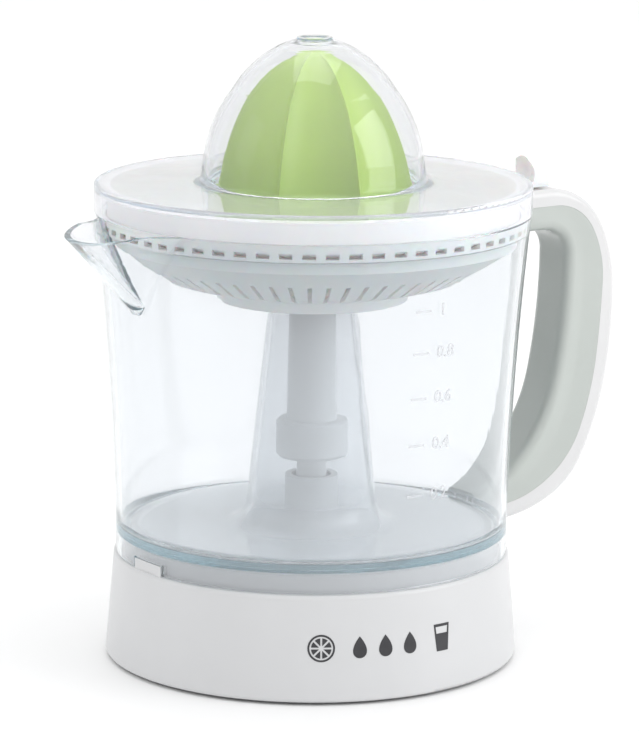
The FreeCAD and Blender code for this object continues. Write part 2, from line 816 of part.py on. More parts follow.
def spout_section(height, rim, tip_centre, tip_radius, blend, inside):
    """Plan of the spout at one height: a round tip blended into the rim circle
    by an arc on each side, and closed by a chord inside the jug."""
    to_blend = rim + blend
    reach = tip_radius + blend
    x = (to_blend ** 2 - reach ** 2 + tip_centre ** 2) / (2 * tip_centre)
    y = math.sqrt(to_blend ** 2 - x ** 2)
    centre = Vector(-x, y, height)
    tip = Vector(-tip_centre, 0, height)
    on_rim = Vector(-x * rim / to_blend, y * rim / to_blend, height)
    on_tip = tip + (centre - tip).normalize() * tip_radius
    chord = (on_rim + on_tip) * 0.5 - centre
    middle = centre + chord.normalize() * blend
    mirror = [Vector(v.x, -v.y, v.z) for v in (on_rim, middle, on_tip)]
    corner = Vector(-inside, on_rim.y, height)
    corner_mirror = Vector(-inside, -on_rim.y, height)
    front = Vector(-tip_centre - tip_radius, 0, height)
    return Part.Wire([
        Part.LineSegment(corner, on_rim).toShape(),
        Part.Arc(on_rim, middle, on_tip).toShape(),
        Part.Arc(on_tip, front, mirror[2]).toShape(),
        Part.Arc(mirror[2], mirror[1], mirror[0]).toShape(),
        Part.LineSegment(mirror[0], corner_mirror).toShape(),
        Part.LineSegment(corner_mirror, corner).toShape(),
    ])


SPOUT_LOW = 126.0
WALL_ARC = (69.75, 96.0)          # a point of the jug's outer wall half-way up


def spout_form(name, shrink, low, high, inside):
    """The spout's outer form, or its channel when shrink is the wall."""
    rim = number(size.jug_rim_radius)
    top = spout_section(high, rim - shrink, 79.0, 19.5 - shrink, 17.0 + shrink, inside)
    foot = spout_section(low, 71.6 - shrink, 59.0, 13.0 - shrink, 12.0 + shrink, inside)
    return plain(name, Part.makeLoft([foot, top], True, True))


def jug():
    """Clear jug: wall, floor, hollow centre tower, skirt and pouring spout."""
    rim = size.jug_rim_radius
    rim_z = size.jug_rim_z
    foot = size.jug_foot_radius
    low = size.shoulder_z + size.play
    floor = size.floor_z
    under = size.floor_z - size.floor_thickness
    tower_foot = size.tower_foot_radius
    root = 9.0                    # radius between the floor and the tower
    root_under = root + number(size.floor_thickness)
    root_x = number(tower_foot) + root
    root_z = number(floor) + root
    diagonal = math.sqrt(0.5)
    body = revolved(
        "jug_turned",
        [
            (foot, low),
            (foot, 52.0),
            (rim, rim_z - 0.5),
            (rim - 0.5, rim_z),
            (rim - 1.3, rim_z),
            (rim - 1.7, size.ledge_z),
            (rim - 2.75, size.ledge_z),
            (foot - 2.0, 49.5),
            (foot - 5.0, floor),
            (tower_foot + root, floor),
            (tower_foot, floor + root),
            (size.tower_top_radius, size.tower_top),
            (size.tower_top_radius - 1.8, size.tower_top),
            (tower_foot - size.floor_thickness, floor + root),
            (tower_foot + root, under),
            (foot - 1.8, under),
            (foot - 1.8, low),
        ],
        {
            1: WALL_ARC,
            6: (WALL_ARC[0] - 2.2, 96.0),
            7: (64.9, 47.4),
            9: (root_x - root * diagonal, root_z - root * diagonal),
            13: (root_x - root_under * diagonal, root_z - root_under * diagonal),
        },
    )
    outer = spout_form("spout_outer", 0, SPOUT_LOW, number(rim_z), 60.0)
    plug = revolved(
        "spout_plug",
        [(0, 60.0), (foot - 0.4, 60.0), (rim - 0.9, rim_z + 1), (0, rim_z + 1)],
        {1: (WALL_ARC[0] - 0.9, 96.0)},
    )
    channel = spout_form("spout_channel", 2.2, SPOUT_LOW + 2.8, number(rim_z) + 0.01, 66.0)
    above_lip = box("above_lip", (-110.0, -40.0, 0.0), (-82.0, 40.0, 20.0))
    above_lip.Placement = Placement(Vector(-110, -40, 149.6), Rotation(Vector(0, 1, 0), -11.5))
    key = box("key_slot", (-72.0, -8.4, low - 1), (-60.0, 8.4, size.shoulder_z + 4.0))
    walls = joined("jug_walls", body, cut("spout_wall", outer, plug))
    return node(cut("jug_open", walls, joined("jug_cuts", channel, above_lip, key)), "jug")


def smooth_path(points, heading):
    """Points that make every stretch of a path an arc tangent to the one before;
    the path starts out along the heading, in degrees."""
    through = []
    for (x, z), (next_x, next_z) in zip(points, points[1:]):
        span = math.hypot(next_x - x, next_z - z)
        chord = math.degrees(math.atan2(next_z - z, next_x - x))
        turn = (chord - heading + 180) % 360 - 180
        if abs(turn) < 0.5:
            through.append(None)
            continue
        step_x, step_z = polar(span / 2 / math.cos(math.radians(turn / 2)), heading + turn / 2)
        through.append((x + step_x, z + step_z))
        heading += 2 * turn
    return through


# side view of the handle, from the jug's rim round to its foot
HANDLE_OUTER = [(72.0, 155.3), (97.0, 155.3), (120.0, 142.0), (126.6, 118.0), (124.2, 88.0),
                (113.1, 56.5), (100.0, 43.8), (82.0, 38.2), (64.0, 37.7)]
HANDLE_SEAM = [(72.0, 149.4), (99.0, 149.4), (115.6, 139.8), (120.4, 120.0), (118.3, 94.7),
               (111.5, 68.0), (99.5, 52.3), (80.0, 44.0), (64.0, 43.0)]
HANDLE_INNER = [(72.0, 140.6), (95.0, 140.6), (104.4, 131.2), (99.8, 88.5), (80.5, 56.5),
                (64.0, 47.0)]


def band(outer, inner):
    """Corners and arcs of the strip between two paths that run side by side."""
    corners = outer + inner[::-1]
    through = smooth_path(outer, 0) + [None] + smooth_path(inner, 0)[::-1]
    return corners, {i: point for i, point in enumerate(through) if point}


def handle_body(name, corners, arcs):
    body = new_body(name)
    sketch = outline(sketch_on(body, "XZ_Plane", f"{name}_side"), corners, arcs)
    padded(body, sketch, size.handle_width, f"{name}_pad", midplane=True)
    return body


def rounded(body, name, radius, chosen):
    """Fillet the edges of the tip that the function picks."""
    tip = body.Tip
    names = [f"Edge{i}" for i, edge in enumerate(tip.Shape.Edges, start=1) if chosen(edge)]
    fillet = body.newObject("PartDesign::Fillet", name)
    fillet.Base = (tip, names)
    fillet.Radius = radius
    doc.recompute()
    return fillet


def jug_outside(name):
    """The space outside the jug's wall, for what is fixed to it."""
    foot = size.jug_foot_radius
    rim = size.jug_rim_radius
    return revolved(
        name,
        [(foot, 30.0), (140.0, 30.0), (140.0, 158.0), (rim, 158.0), (rim, size.jug_rim_z - 0.5),
         (foot, 52.0)],
        {4: WALL_ARC},
    )


def side_edges(path, half):
    """Picks the edges that run along a path of the handle, on both sides."""
    middles = []
    for (x, z), (next_x, next_z), through in zip(path, path[1:], smooth_path(path, 0)):
        middles.append(through or ((x + next_x) / 2, (z + next_z) / 2))

    def chosen(edge):
        middle = edge.valueAt((edge.FirstParameter + edge.LastParameter) / 2)
        flat = edge.BoundBox.YLength < 0.01 and abs(abs(middle.y) - half) < 0.01
        return flat and min(math.hypot(middle.x - x, middle.z - z) for x, z in middles) < 1.0

    return chosen


def jug_handle():
    """Clear inner half of the handle, moulded with the jug."""
    body = handle_body("handle_core", *band(HANDLE_SEAM, HANDLE_INNER))
    half = number(size.handle_width) / 2
    rounded(body, "handle_core_round", 3.6, side_edges(HANDLE_INNER, half))
    return node(common("handle_clear", body, jug_outside("outside_for_core")), "jug_handle")


def handle_cover():
    """White cover strip clipped over the outer side of the handle."""
    gap = 0.06
    middle_x, middle_z = 80.0, 97.0
    seam = []
    for x, z in HANDLE_SEAM:
        reach = math.hypot(x - middle_x, z - middle_z)
        seam.append((x + gap * (x - middle_x) / reach, z + gap * (z - middle_z) / reach))
    body = handle_body("handle_strip", *band(HANDLE_OUTER, seam))
    half = number(size.handle_width) / 2
    rounded(body, "handle_strip_round", 2.6, side_edges(HANDLE_OUTER, half))
    return node(common("handle_white", body, jug_outside("outside_for_cover")), "handle_cover")


# ---------------------------------------------------------------- lid

def lid():
    """Clear lid: skirt, brim and the dome over the reamer."""
    wall = size.lid_wall
    rim = size.lid_radius
    brim = size.lid_brim
    under = brim - wall
    body = revolved(
        "lid_turned",
        [
            (rim, size.lid_low),
            (rim, brim - 1.2),
            (rim - 1.2, brim),
            (41.2, brim),
            (38.4, brim + 2.8),
            (37.6, 174.5),
            (28.1, 196.7),
            (13.7, 210.9),
            (6.2, 213.8),
            (6.0, 214.6),
            (4.6, 214.6),
            (4.2, 214.0),
            (0, 214.0),
            (0, 212.2),
            (6.2, 211.9),
            (13.0, 209.2),
            (26.7, 195.5),
            (35.8, 174.4),
            (36.7, under),
            (rim - wall - 0.8, under),
            (rim - wall, under - 0.8),
            (rim - wall, size.lid_low),
        ],
        {1: (74.65, 164.85), 3: (39.2, 166.0), 5: (34.35, 186.0), 6: (21.6, 204.9), 7: (10.1, 212.6),
         14: (9.8, 210.9), 15: (20.5, 203.6), 16: (32.65, 185.3)},
    )
    notch = box("lever_notch", (60.0, -19.0, size.lid_low - 1), (80.0, 19.0, size.lid_low + 3.4))
    return node(cut("lid_notched", body, notch), "lid")


# ---------------------------------------------------------------- sieve and pulp ring

def slot_ring(name, inner, outer, low, high, width):
    """Equal radial slots, side by side round the axis."""
    count = int(number(size.slot_count))
    slots = []
    for index in range(count):
        slot = Part.makeBox(outer - inner, width, high - low, Vector(inner, -width / 2, low))
        slot.rotate(Vector(), Vector(0, 0, 1), 360 * index / count)
        slots.append(slot)
    return plain(name, Part.makeCompound(slots))


def sieve():
    """White translucent strainer that hangs in the jug's rim."""
    rim = size.sieve_radius
    top = size.sieve_top
    low = size.ledge_z + size.play
    bore = size.collar_bore
    body = revolved(
        "strainer",
        [
            (rim, top),
            (rim, low),
            (70.3, low),
            (69.9, 145.2),
            (61.6, 139.6),
            (50.7, 132.9),
            (42.0, 130.6),
            (33.0, 129.0),
            (32.6, 125.2),
            (bore, 125.2),
            (bore, 142.0),
            (bore + 1.3, 142.0),
            (bore + 1.3, 126.7),
            (31.2, 126.7),
            (31.6, 130.3),
            (41.6, 132.0),
            (50.0, 134.3),
            (60.7, 141.0),
            (68.6, 146.2),
            (69.0, low + 1.2),
            (rim - 1.5, low + 1.4),
            (rim - 1.5, top),
        ],
    )
    width = number(size.slot_width)
    slots = slot_ring("sieve_slots", 43.5, 61.0, 125.0, 146.0, width)
    windows = slot_ring("sieve_windows", 66.0, 80.0, 150.5, 152.3, 4.4)
    return node(cut("sieve_open", body, joined("sieve_cuts", slots, windows)), "sieve")


def pulp_ring():
    """Ring that lies on the sieve and covers part of its slots when its lever,
    above the handle, is turned."""
    body = revolved(
        "pulp_cone",
        [
            (43.4, 133.0),
            (49.8, 134.8),
            (60.4, 141.6),
            (68.2, 146.8),
            (68.6, 151.4),
            (70.5, 151.4),
            (70.5, 162.8),
            (69.3, 162.8),
            (69.3, 152.6),
            (67.4, 152.6),
            (67.0, 147.6),
            (59.7, 142.7),
            (49.2, 136.0),
            (43.4, 134.2),
        ],
    )
    slots = slot_ring("pulp_slots", 44.5, 61.0, 125.0, 150.0, number(size.slot_width))
    slotted_cone = cut("pulp_slotted", body, slots)
    half = 5.5
    arm = box("lever_arm", (69.6, -half, 156.1), (97.0, half, 158.0))
    fin_body = new_body("lever_fin")
    side = outline(
        sketch_on(fin_body, "XZ_Plane", "fin_side"),
        [(90.2, 156.1), (98.4, 156.1), (97.9, 159.2), (90.6, 166.9), (89.4, 166.4)],
        {2: (95.8, 163.9), 4: (91.6, 161.0)},
    )
    padded(fin_body, side, 2 * half, "fin_pad", midplane=True)
    front = doc.addObject("Part::Cylinder", "fin_round")
    bind(front, Radius=half, Height=20.0)
    place(front, 85.0, 0, 161.4, Rotation(Vector(0, 1, 0), 90))
    stem = box("fin_stem", (85.0, -half, 150.0), (105.0, half, 161.4))
    fin = common("fin", fin_body, joined("fin_front", front, stem))
    dish = doc.addObject("Part::Sphere", "fin_dish")
    bind(dish, Radius=6.2)
    place(dish, 86.6, 0, 162.0)
    return node(joined("pulp_lever", slotted_cone, arm, cut("fin_dished", fin, dish)), "pulp_ring")


# ---------------------------------------------------------------- reamer

RIBS = 8
RIB_ANGLE = -9.0                  # one rib's ridge, from +X
RIB_CREST = [(160.0, 35.9), (166.6, 34.4), (172.8, 33.0), (179.6, 30.9), (186.5, 28.0),
             (193.3, 24.2), (198.5, 19.9), (203.6, 14.6), (206.8, 9.6), (208.6, 4.6)]
REAMER_TOP = 209.5
VALLEY_DEPTH = 0.24


def rib_section(height, radius, depth):
    """Section of the ribbed cone: a sharp ridge and a hollow between ridges."""
    edges = []
    step = 360 / RIBS
    for index in range(RIBS):
        angles = [RIB_ANGLE + step * (index + part) for part in (0, 0.5, 1)]
        radii = [radius, radius * (1 - depth), radius]
        a, b, c = (Vector(*polar(r, t), height) for r, t in zip(radii, angles))
        edges.append(Part.Arc(a, b, c).toShape())
    return Part.Wire(edges)


def reamer():
    """Green ribbed cone, hollow, with a tube inside for the white drive socket."""
    sections = []
    for index, (height, radius) in enumerate(RIB_CREST):
        depth = VALLEY_DEPTH * min(1.0, 0.45 + 0.55 * index)
        sections.append(rib_section(height, radius, depth))
    sections.append(Part.Vertex(0, 0, REAMER_TOP))
    ribs = plain("reamer_ribs", Part.makeLoft(sections, True, False))
    flange = cylinder("reamer_flange", size.reamer_radius, size.reamer_low, size.reamer_flange + 0.01)
    cavity = revolved(
        "reamer_cavity",
        [
            (0, size.reamer_low - 1),
            (33.6, size.reamer_low - 1),
            (33.6, 157.5),
            (23.4, 166.0),
            (19.6, 179.6),
            (15.4, 189.0),
            (14.4, 189.0),
            (14.4, 150.0),
            (12.4, 150.0),
            (12.4, 172.4),
            (0, 172.4),
        ],
    )
    node(cut("reamer", joined("reamer_solid", ribs, flange), cavity), "reamer_cone")
    socket = cylinder("socket_tube", 12.1, size.shaft_shoulder + size.play, 168.6)
    hexagon_bore = plain("socket_bore", hexagon(number(size.hex_radius) + 0.17, 120, 156.5))
    node(cut("socket", socket, hexagon_bore), "reamer_socket")


# ---------------------------------------------------------------- assembly

base_housing()
base_plate()
rubber_feet()
base_screws()
cord_gland()
stator_core()
coil_bobbins()
coil_windings()
rotor()
microswitch()
return_spring()
terminal_block()
lead_wires()
gears()
gearbox_frame()
gearbox_cover()
gear_pins()
gearbox_screws()
shaft_bearing()
drive_shaft()
jug()
jug_handle()
handle_cover()
lid()
sieve()
pulp_ring()
reamer()

doc.recompute()

for feature in doc.Objects:
    if "Invalid" in feature.State or "Error" in feature.State:
        raise RuntimeError(f"{feature.Label}: {feature.State}")

os.makedirs("parts", exist_ok=True)
for feature in NODES:
    shape = feature.Shape
    if shape.isNull() or not shape.isValid():
        raise RuntimeError(f"{feature.Label} has no valid shape")
    shape.exportStep(f"parts/{feature.Label}.step")
    print(f"{feature.Label}: {len(shape.Solids)} solids, {shape.Volume / 1000:.2f} cm3")
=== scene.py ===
import json
import math

import bmesh
import bpy
from mathutils import Matrix, Vector
from mathutils.bvhtree import BVHTree


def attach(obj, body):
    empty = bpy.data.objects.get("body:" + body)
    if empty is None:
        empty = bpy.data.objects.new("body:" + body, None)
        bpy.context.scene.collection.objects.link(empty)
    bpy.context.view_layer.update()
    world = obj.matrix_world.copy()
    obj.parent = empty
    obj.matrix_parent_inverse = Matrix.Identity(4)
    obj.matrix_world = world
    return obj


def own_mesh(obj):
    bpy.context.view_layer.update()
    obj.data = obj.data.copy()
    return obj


# The looks of the citrus press.  Lengths are in metres, in the part's own frame:
# +Z up the drive axis, +X towards the handle, -X towards the spout.

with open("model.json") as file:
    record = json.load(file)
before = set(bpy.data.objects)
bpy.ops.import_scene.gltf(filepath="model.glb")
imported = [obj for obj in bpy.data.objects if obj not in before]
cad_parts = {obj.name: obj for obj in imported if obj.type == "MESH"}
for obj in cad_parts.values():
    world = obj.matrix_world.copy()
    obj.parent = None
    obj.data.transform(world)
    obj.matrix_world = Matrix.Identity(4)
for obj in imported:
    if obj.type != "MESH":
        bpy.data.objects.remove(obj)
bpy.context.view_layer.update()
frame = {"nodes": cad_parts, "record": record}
NODES = frame["nodes"]
MM = 0.001


# ---------------------------------------------------------------- materials

class Look:
    """A procedural material: one Principled shader and the nodes that vary it."""

    def __init__(self, name, color, roughness, **sockets):
        self.material = bpy.data.materials.new(name)
        self.material.use_nodes = True
        tree = self.material.node_tree
        self.nodes = tree.nodes
        self.links = tree.links
        self.shader = self.nodes["Principled BSDF"]
        self.output = self.nodes["Material Output"]
        self.place = self.add("ShaderNodeTexCoord").outputs["Object"]
        self.normal = None
        self.color = color
        self.roughness = roughness
        self.set("Base Color", (*color, 1))
        self.set("Roughness", roughness)
        for socket, amount in sockets.items():
            self.set(socket.replace("_", " "), amount)

    def add(self, kind, inputs=None, **settings):
        """A new shader node, with its settings and the numbers on its inputs."""
        node = self.nodes.new(kind)
        for name, amount in settings.items():
            setattr(node, name, amount)
        for name, amount in (inputs or {}).items():
            node.inputs[name].default_value = amount
        return node

    def set(self, socket, amount):
        """Give a socket of the main shader a uniform number or colour."""
        self.shader.inputs[socket].default_value = amount

    def drive(self, socket, source):
        """Let source decide a socket of the main shader."""
        self.links.new(source, self.shader.inputs[socket])

    def noise(self, size, detail=2.0):
        """Noise whose features are about size metres wide."""
        node = self.add("ShaderNodeTexNoise", {"Scale": 1 / size, "Detail": detail})
        self.links.new(self.place, node.inputs["Vector"])
        return node.outputs["Fac"]

    def waves(self, size, direction="Z", distortion=0.0):
        """Even ridges, size metres from one to the next."""
        node = self.add("ShaderNodeTexWave", {"Scale": 0.31 / size, "Distortion": distortion},
                        bands_direction=direction)
        self.links.new(self.place, node.inputs["Vector"])
        return node.outputs["Fac"]

    def spread(self, source, low, high, start=0.3, stop=0.7):
        """source between start and stop, mapped to low and high."""
        node = self.add("ShaderNodeMapRange", {"From Min": start, "From Max": stop,
                                               "To Min": low, "To Max": high})
        self.links.new(source, node.inputs["Value"])
        return node.outputs["Result"]

    def math(self, operation, first, second):
        """The result of one sum on two sources or numbers."""
        node = self.add("ShaderNodeMath", operation=operation)
        for index, source in enumerate((first, second)):
            if isinstance(source, (int, float)):
                node.inputs[index].default_value = source
            else:
                self.links.new(source, node.inputs[index])
        return node.outputs[0]

    def blend(self, source, first, second):
        """A colour from first to second as source goes from 0 to 1."""
        node = self.add("ShaderNodeMix", data_type="RGBA")
        self.links.new(source, node.inputs["Factor"])
        for index, color in ((6, first), (7, second)):
            if isinstance(color, tuple):
                node.inputs[index].default_value = (*color, 1)
            else:
                self.links.new(color, node.inputs[index])
        return node.outputs[2]

    def bump(self, source, height):
        """Relief height metres deep, over any relief added before."""
        node = self.add("ShaderNodeBump", {"Distance": height, "Strength": 1.0})
        self.links.new(source, node.inputs["Height"])
        if self.normal:
            self.links.new(self.normal, node.inputs["Normal"])
        self.normal = node.outputs["Normal"]
        self.drive("Normal", self.normal)

    def mottle(self, size, depth):
        """Colour varied by a share of depth, in patches of about size."""
        dark = tuple(channel * (1 - depth) for channel in self.color)
        shade = self.spread(self.noise(size), 0, 1)
        self.drive("Base Color", self.blend(shade, dark, self.color))

    def scuff(self, size, amount):
        """Roughness varied by amount, as handling leaves it."""
        low = max(0.0, self.roughness - amount)
        self.drive("Roughness", self.spread(self.noise(size, 4), low, self.roughness + amount))

    def from_axis(self):
        """The distance from the drive axis."""
        across = self.add("ShaderNodeVectorMath", operation="MULTIPLY")
        across.inputs[1].default_value = (1, 1, 0)
        self.links.new(self.place, across.inputs[0])
        length = self.add("ShaderNodeVectorMath", operation="LENGTH")
        self.links.new(across.outputs[0], length.inputs[0])
        return length.outputs["Value"]

    def height(self):
        """The height above the floor."""
        split = self.add("ShaderNodeSeparateXYZ")
        self.links.new(self.place, split.inputs[0])
        return split.outputs["Z"]


def moulded(name, color, roughness, grain=0.00002, **sockets):
    """Moulded plastic: faint flow mottling, a fine skin and handling scuffs."""
    look = Look(name, color, roughness, **sockets)
    look.mottle(0.022, 0.025)
    look.scuff(0.012, 0.05)
    look.bump(look.noise(0.0009, 3), grain)
    look.bump(look.noise(0.018, 1), 0.00006)
    return look


def clear_plastic(name, tint, roughness, depth_color, depth_density):
    """Clear moulded plastic that lets the lamps through and darkens with depth."""
    look = Look(name, tint, roughness, Transmission_Weight=1.0, IOR=1.5)
    look.scuff(0.02, 0.012)
    look.bump(look.noise(0.03, 1), 0.00005)
    passing = look.add("ShaderNodeBsdfTransparent", {"Color": (0.965, 0.975, 0.98, 1)})
    shadow = look.add("ShaderNodeLightPath").outputs["Is Shadow Ray"]
    mix = look.add("ShaderNodeMixShader")
    look.links.new(shadow, mix.inputs[0])
    look.links.new(look.shader.outputs[0], mix.inputs[1])
    look.links.new(passing.outputs[0], mix.inputs[2])
    look.links.new(mix.outputs[0], look.output.inputs["Surface"])
    depth = look.add("ShaderNodeVolumeAbsorption",
                     {"Color": (*depth_color, 1), "Density": depth_density})
    look.links.new(depth.outputs[0], look.output.inputs["Volume"])
    return look


FLOOR_EDGE = (0.058, 0.061)      # from the axis: the milky floor ends and the clear wall begins
TOWER_FOOT = (0.052, 0.070)      # height: the milky floor turns into the half-clear tower
TOWER_MILK = 0.4                 # how milky the tower is, as a share of the floor
JUG_CLEARNESS = 0.965
FLOOR_HAZE = 0.26                # clearness lost where the jug is milky


def jug_look():
    """Clear wall, milky floor and a half-clear tower."""
    look = clear_plastic("jug_clear", (0.925, 0.93, 0.945), 0.02, (0.58, 0.77, 0.82), 24)
    inside = look.spread(look.from_axis(), 1, 0, *FLOOR_EDGE)
    foot = look.spread(look.height(), 1, TOWER_MILK, *TOWER_FOOT)
    milky = look.math("MULTIPLY", inside, foot)
    worn = look.spread(look.noise(0.02, 4), 0.01, 0.03)
    frosted = look.spread(look.noise(0.006, 3), 0.05, 0.10)
    haze = look.math("MULTIPLY", milky, FLOOR_HAZE)
    look.drive("Roughness", look.math("ADD", look.math("MULTIPLY", milky, frosted), worn))
    look.drive("Transmission Weight", look.math("SUBTRACT", JUG_CLEARNESS, haze))
    return look


DOME_EDGE = (0.040, 0.044)       # from the axis: the dome ends and the brim begins
DOME_CLEARNESS = 0.95
BRIM_CLEARNESS = 0.82


def lid_look():
    """Milky brim and skirt, and a clearer dome."""
    look = clear_plastic("lid_clear", (0.965, 0.96, 0.98), 0.03, (0.58, 0.74, 0.86), 18)
    look.drive("Transmission Weight", look.spread(look.from_axis(), DOME_CLEARNESS,
                                                  BRIM_CLEARNESS, *DOME_EDGE))
    return look


def reamer_look():
    """Green moulding, a little lighter in broad patches."""
    look = moulded("reamer_green", (0.37, 0.56, 0.055), 0.38, grain=0.00001, Subsurface_Weight=0.05,
                   Subsurface_Scale=0.002, Coat_Weight=0.08, Coat_Roughness=0.2)
    pale = tuple(min(1.0, channel * 1.1) for channel in look.color)
    look.drive("Base Color", look.blend(look.spread(look.noise(0.03), 0, 1), look.color, pale))
    return look


def sieve_look():
    """White polypropylene that glows a little where light comes through."""
    return moulded("sieve_white", (0.93, 0.935, 0.94), 0.38, grain=0.00001, Subsurface_Weight=0.4,
                   Subsurface_Scale=0.004, Transmission_Weight=0.15)


def metal(name, color, roughness, streak, axis="Z"):
    """Bare metal with drawn or ground lines across the given axis."""
    look = Look(name, color, roughness, Metallic=1.0)
    look.mottle(0.006, 0.12)
    look.scuff(0.002, 0.08)
    look.bump(look.waves(streak, axis, 1.5), 0.00001)
    look.bump(look.noise(0.0006, 3), 0.00001)
    return look


def laminated_look():
    """Iron core of stamped sheets 0.5 mm thick, with a thin rust bloom."""
    look = Look("laminated_iron", (0.16, 0.16, 0.17), 0.45, Metallic=0.85)
    bloom = look.spread(look.noise(0.005, 5), 0, 1, 0.55, 0.75)
    look.drive("Base Color", look.blend(bloom, look.color, (0.20, 0.12, 0.08)))
    look.scuff(0.003, 0.1)
    look.bump(look.waves(0.5 * MM), 0.00006)
    return look


def winding_look():
    """Enamelled copper wire, wound in close turns."""
    look = Look("copper_wire", (0.66, 0.25, 0.10), 0.28, Metallic=0.9, Coat_Weight=0.5)
    look.mottle(0.003, 0.25)
    look.bump(look.waves(0.35 * MM, "X", 0.4), 0.0001)
    return look


def rubber_look():
    """Dull soft rubber with a fine grain."""
    look = Look("rubber_grey", (0.045, 0.045, 0.05), 0.62)
    look.mottle(0.004, 0.3)
    look.scuff(0.005, 0.12)
    look.bump(look.noise(0.0007, 4), 0.00005)
    return look


LOOKS = {
    "white_abs": moulded("white_abs", (0.622, 0.627, 0.637), 0.34, grain=0.00001, Coat_Weight=0.2,
                         Coat_Roughness=0.25),
    "handle_white": moulded("handle_white", (0.66, 0.66, 0.665), 0.18, grain=0.000002,
                            Coat_Weight=0.4, Coat_Roughness=0.08),
    "jug_clear": jug_look(),
    "lid_clear": lid_look(),
    "handle_clear": moulded("handle_clear", (0.60, 0.64, 0.61), 0.16, grain=0.000002,
                            Transmission_Weight=0.3, Coat_Weight=0.4, Coat_Roughness=0.06),
    "sieve_white": sieve_look(),
    "reamer_green": reamer_look(),
    "drive_white": moulded("drive_white", (0.80, 0.80, 0.80), 0.32, grain=0.00001),
    "plate_grey": moulded("plate_grey", (0.36, 0.37, 0.38), 0.5, grain=0.00008),
    "rubber_grey": rubber_look(),
    "screw_steel": metal("screw_steel", (0.60, 0.60, 0.62), 0.32, 0.4 * MM),
    "ground_steel": metal("ground_steel", (0.66, 0.66, 0.68), 0.18, 0.2 * MM),
    "laminated_iron": laminated_look(),
    "copper_wire": winding_look(),
    "bobbin_plastic": moulded("bobbin_plastic", (0.03, 0.032, 0.035), 0.42),
    "ferrite": metal("ferrite", (0.13, 0.13, 0.14), 0.42, 0.3 * MM),
    "acetal": moulded("acetal", (0.80, 0.78, 0.70), 0.36, Subsurface_Weight=0.1,
                      Subsurface_Scale=0.001),
    "switch_black": moulded("switch_black", (0.012, 0.012, 0.014), 0.38),
    "wire_blue": moulded("wire_blue", (0.012, 0.045, 0.28), 0.4),
    "bush_bronze": metal("bush_bronze", (0.50, 0.32, 0.14), 0.38, 0.5 * MM),
}


def dress_nodes():
    """Give every CAD node the look of its material slot."""
    for part in frame["record"]["subparts"]:
        slots = NODES[part["node"]].material_slots
        for slot in slots:
            slot.material = LOOKS[part["material_slot"]].material


def squash_spring():
    """Give the coil spring a mesh of its own."""
    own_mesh(NODES["return_spring"])


# ---------------------------------------------------------------- marks on curved walls

WELL_OUTSIDE = 0.2               # beyond every wall of the press
WRAP_STEP = 0.8 * MM             # a flat mark is cut this often before it bends


class Wall:
    """The outside of a round CAD node, found by a ray towards the axis."""

    def __init__(self, node):
        mesh = NODES[node].data
        corners = [vertex.co for vertex in mesh.vertices]
        faces = [tuple(face.vertices) for face in mesh.polygons]
        self.tree = BVHTree.FromPolygons(corners, faces)

    def radius(self, azimuth, z):
        """How far the wall is from the axis, at an angle and a height."""
        outward = Vector((math.cos(azimuth), math.sin(azimuth), 0))
        start = outward * WELL_OUTSIDE + Vector((0, 0, z))
        hit = self.tree.ray_cast(start, -outward)[0]
        return Vector(hit[:2]).length


def wrapped(name, flat, wall, azimuth, z, lift):
    """A flat mesh (x along the wall, y up, z outwards) laid round a wall."""
    work = bmesh.new()
    work.from_mesh(flat)
    cuts = int(max(abs(vertex.co.x) for vertex in work.verts) / WRAP_STEP)
    for index in range(-cuts, cuts + 1):
        everything = work.verts[:] + work.edges[:] + work.faces[:]
        bmesh.ops.bisect_plane(work, geom=everything, plane_co=(index * WRAP_STEP, 0, 0),
                               plane_no=(1, 0, 0))
    middle = wall.radius(azimuth, z)
    for vertex in work.verts:
        turn = azimuth + vertex.co.x / middle
        height = z + vertex.co.y
        reach = wall.radius(turn, height) + vertex.co.z + lift
        vertex.co = (reach * math.cos(turn), reach * math.sin(turn), height)
    bmesh.ops.triangulate(work, faces=[face for face in work.faces if len(face.verts) > 4])
    bmesh.ops.recalc_face_normals(work, faces=work.faces)
    mesh = bpy.data.meshes.new(name)
    work.to_mesh(mesh)
    work.free()
    piece = bpy.data.objects.new(name, mesh)
    bpy.context.scene.collection.objects.link(piece)
    return piece


def mesh_of(curve):
    """The mesh of a flat curve or text, which is then thrown away."""
    carrier = bpy.data.objects.new("carrier", curve)
    bpy.context.scene.collection.objects.link(carrier)
    bpy.context.view_layer.update()
    mesh = bpy.data.meshes.new_from_object(carrier)
    bpy.data.objects.remove(carrier)
    return mesh


def flat_shape(outlines, depth):
    """Closed outlines, filled by the even-odd rule and given a depth."""
    curve = bpy.data.curves.new("outline", "CURVE")
    curve.dimensions = "2D"
    curve.fill_mode = "BOTH"
    curve.extrude = depth / 2
    for points in outlines:
        spline = curve.splines.new("POLY")
        spline.points.add(len(points) - 1)
        for point, (x, y) in zip(spline.points, points):
            point.co = (x, y, 0, 1)
        spline.use_cyclic_u = True
    return mesh_of(curve)


def numeral(figures, size, depth):
    """Raised figures, starting at the left and centred in height."""
    text = bpy.data.curves.new("figures", "FONT")
    text.body = figures
    text.size = size
    text.extrude = depth / 2
    text.align_x = "LEFT"
    text.align_y = "CENTER"
    text.resolution_u = 4
    return mesh_of(text)


def circle(x, y, radius, count=40):
    """The points of a circle."""
    turns = [2 * math.pi * index / count for index in range(count)]
    return [(x + radius * math.cos(turn), y + radius * math.sin(turn)) for turn in turns]


